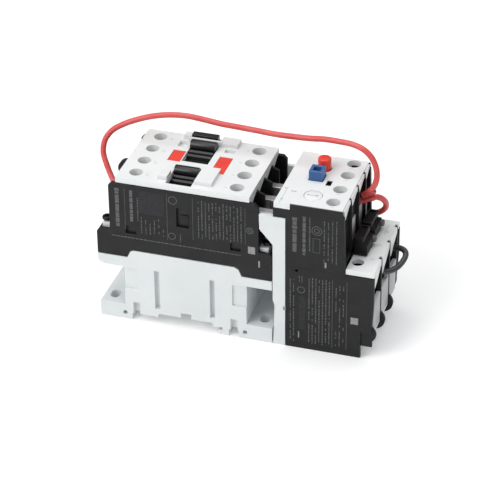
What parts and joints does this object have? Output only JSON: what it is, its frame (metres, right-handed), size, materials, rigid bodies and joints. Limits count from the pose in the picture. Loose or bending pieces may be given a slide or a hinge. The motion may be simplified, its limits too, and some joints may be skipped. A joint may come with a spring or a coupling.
{
  "type": "magnetic motor starter",
  "caption": "Magnetic motor starter: a contactor with a plug-in thermal overload relay, stop and reset buttons, current dial, screw terminals and short control wires.",
  "frame": {"origin": "middle of the underside of the starter, on the mounting panel plane, without its wires", "axes": "+X from the contactor to the overload relay, +Y across the poles, +Z away from the mounting panel"},
  "size_m": [0.1406, 0.045, 0.0862],
  "materials": {
    "white_plastic": "fine moulded satin",
    "dark_plastic": "fine spark-eroded grain",
    "black_plastic": "moulded, slightly shiny",
    "red_plastic": "moulded",
    "blue_plastic": "moulded",
    "screw_steel": "zinc plated",
    "contact_metal": "punched strip",
    "core_steel": "stacked laminations",
    "coil_body": "wound enamelled wire on a bobbin",
    "spring_steel": "drawn wire",
    "red_insulation": "extruded insulation",
    "black_insulation": "extruded insulation"
  },
  "bodies": {
    "root": {"contactor_base": "white_plastic", "contactor_cover": "white_plastic", "overload_frame": "white_plastic", "overload_cover": "white_plastic", "overload_terminal_cover": "white_plastic", "contactor_body": "dark_plastic", "overload_housing": "dark_plastic", "accessory_rail": "black_plastic", "terminal_cap_1": "black_plastic", "terminal_cap_2": "black_plastic", "red_insert_left": "red_plastic", "red_insert_right": "red_plastic", "fixed_core": "core_steel", "coil": "coil_body", "return_spring": "spring_steel", "line_contact_1": "contact_metal", "load_contact_1": "contact_metal", "line_contact_2": "contact_metal", "load_contact_2": "contact_metal", "line_contact_3": "contact_metal", "load_contact_3": "contact_metal", "line_contact_4": "contact_metal", "load_contact_4": "contact_metal", "bimetal_1": "contact_metal", "link_bar_1": "screw_steel", "bimetal_2": "contact_metal", "link_bar_2": "screw_steel", "bimetal_3": "contact_metal", "link_bar_3": "screw_steel", "red_lead": "red_insulation", "red_link": "red_insulation", "black_link": "black_insulation"},
    "carrier": {"contact_carrier": "black_plastic", "armature_core": "core_steel", "contact_bridge_1": "contact_metal", "contact_bridge_2": "contact_metal", "contact_bridge_3": "contact_metal", "contact_bridge_4": "contact_metal"},
    "stop_button": {"stop_button": "red_plastic"},
    "reset_button": {"reset_button": "blue_plastic"},
    "current_dial": {"current_dial": "white_plastic"},
    "test_slider": {"test_slider": "black_plastic"},
    "rail_clip": {"rail_clip": "black_plastic"},
    "line_screw_1": {"line_screw_1": "screw_steel"},
    "load_screw_1": {"load_screw_1": "screw_steel"},
    "aux_screw_1": {"aux_screw_1": "screw_steel"},
    "line_screw_2": {"line_screw_2": "screw_steel"},
    "load_screw_2": {"load_screw_2": "screw_steel"},
    "aux_screw_2": {"aux_screw_2": "screw_steel"},
    "line_screw_3": {"line_screw_3": "screw_steel"},
    "load_screw_3": {"load_screw_3": "screw_steel"},
    "aux_screw_3": {"aux_screw_3": "screw_steel"},
    "line_screw_4": {"line_screw_4": "screw_steel"},
    "load_screw_4": {"load_screw_4": "screw_steel"},
    "aux_screw_4": {"aux_screw_4": "screw_steel"},
    "motor_screw_1": {"motor_screw_1": "screw_steel"},
    "motor_screw_2": {"motor_screw_2": "screw_steel"},
    "motor_screw_3": {"motor_screw_3": "screw_steel"},
    "coil_screw_1": {"coil_screw_1": "screw_steel"},
    "coil_screw_2": {"coil_screw_2": "screw_steel"}
  },
  "joints": [
    {"name": "carrier_stroke", "type": "slide", "parent": "root", "child": "carrier", "axis": [0, 0, -1], "range_m": [0, 0.004], "stiffness_N_per_m": 400, "springref_m": -0.01, "deforming": ["return_spring"]},
    {"name": "stop_press", "type": "slide", "parent": "root", "child": "stop_button", "axis": [0, 0, -1], "range_m": [0, 0.0025], "stiffness_N_per_m": 250, "springref_m": -0.003},
    {"name": "reset_press", "type": "slide", "parent": "root", "child": "reset_button", "axis": [0, 0, -1], "range_m": [0, 0.0025], "stiffness_N_per_m": 250, "springref_m": -0.003},
    {"name": "dial_turn", "type": "hinge", "parent": "root", "child": "current_dial", "pos_m": [0.0318, -0.0125, 0.0725], "axis": [0, 0, 1], "range_deg": [-135, 135]},
    {"name": "test_slide", "type": "slide", "parent": "root", "child": "test_slider", "axis": [0, 1, 0], "range_m": [0, 0.0016]},
    {"name": "clip_pull", "type": "slide", "parent": "root", "child": "rail_clip", "axis": [-1, 0, 0], "range_m": [0, 0.0035], "stiffness_N_per_m": 1500, "springref_m": -0.002},
    {"name": "line_screw_1_turn", "type": "hinge", "parent": "root", "child": "line_screw_1", "pos_m": [-0.0468, -0.0156, 0.0662], "axis": [0, 0, 1], "continuous": true},
    {"name": "load_screw_1_turn", "type": "hinge", "parent": "root", "child": "load_screw_1", "pos_m": [-0.0011, -0.0156, 0.0662], "axis": [0, 0, 1], "continuous": true},
    {"name": "aux_screw_1_turn", "type": "hinge", "parent": "root", "child": "aux_screw_1", "pos_m": [0.0415, -0.0156, 0.0668], "axis": [0, 0, 1], "continuous": true},
    {"name": "line_screw_2_turn", "type": "hinge", "parent": "root", "child": "line_screw_2", "pos_m": [-0.0468, -0.0049, 0.0662], "axis": [0, 0, 1], "continuous": true},
    {"name": "load_screw_2_turn", "type": "hinge", "parent": "root", "child": "load_screw_2", "pos_m": [-0.0011, -0.0049, 0.0662], "axis": [0, 0, 1], "continuous": true},
    {"name": "aux_screw_2_turn", "type": "hinge", "parent": "root", "child": "aux_screw_2", "pos_m": [0.0415, -0.0047, 0.0668], "axis": [0, 0, 1], "continuous": true},
    {"name": "line_screw_3_turn", "type": "hinge", "parent": "root", "child": "line_screw_3", "pos_m": [-0.0468, 0.0059, 0.0662], "axis": [0, 0, 1], "continuous": true},
    {"name": "load_screw_3_turn", "type": "hinge", "parent": "root", "child": "load_screw_3", "pos_m": [-0.0011, 0.0059, 0.0662], "axis": [0, 0, 1], "continuous": true},
    {"name": "aux_screw_3_turn", "type": "hinge", "parent": "root", "child": "aux_screw_3", "pos_m": [0.0415, 0.0076, 0.0668], "axis": [0, 0, 1], "continuous": true},
    {"name": "line_screw_4_turn", "type": "hinge", "parent": "root", "child": "line_screw_4", "pos_m": [-0.0468, 0.0167, 0.0662], "axis": [0, 0, 1], "continuous": true},
    {"name": "load_screw_4_turn", "type": "hinge", "parent": "root", "child": "load_screw_4", "pos_m": [-0.0011, 0.0167, 0.0662], "axis": [0, 0, 1], "continuous": true},
    {"name": "aux_screw_4_turn", "type": "hinge", "parent": "root", "child": "aux_screw_4", "pos_m": [0.0415, 0.0179, 0.0668], "axis": [0, 0, 1], "continuous": true},
    {"name": "motor_screw_1_turn", "type": "hinge", "parent": "root", "child": "motor_screw_1", "pos_m": [0.0525, -0.0151, 0.0408], "axis": [0, 0, 1], "continuous": true},
    {"name": "motor_screw_2_turn", "type": "hinge", "parent": "root", "child": "motor_screw_2", "pos_m": [0.0525, -0.0018, 0.0408], "axis": [0, 0, 1], "continuous": true},
    {"name": "motor_screw_3_turn", "type": "hinge", "parent": "root", "child": "motor_screw_3", "pos_m": [0.0525, 0.0118, 0.0408], "axis": [0, 0, 1], "continuous": true},
    {"name": "coil_screw_1_turn", "type": "hinge", "parent": "root", "child": "coil_screw_1", "pos_m": [-0.0605, -0.0173, 0.0506], "axis": [0, 0, 1], "continuous": true},
    {"name": "coil_screw_2_turn", "type": "hinge", "parent": "root", "child": "coil_screw_2", "pos_m": [0.0131, -0.0173, 0.0506], "axis": [0, 0, 1], "continuous": true}
  ]
}
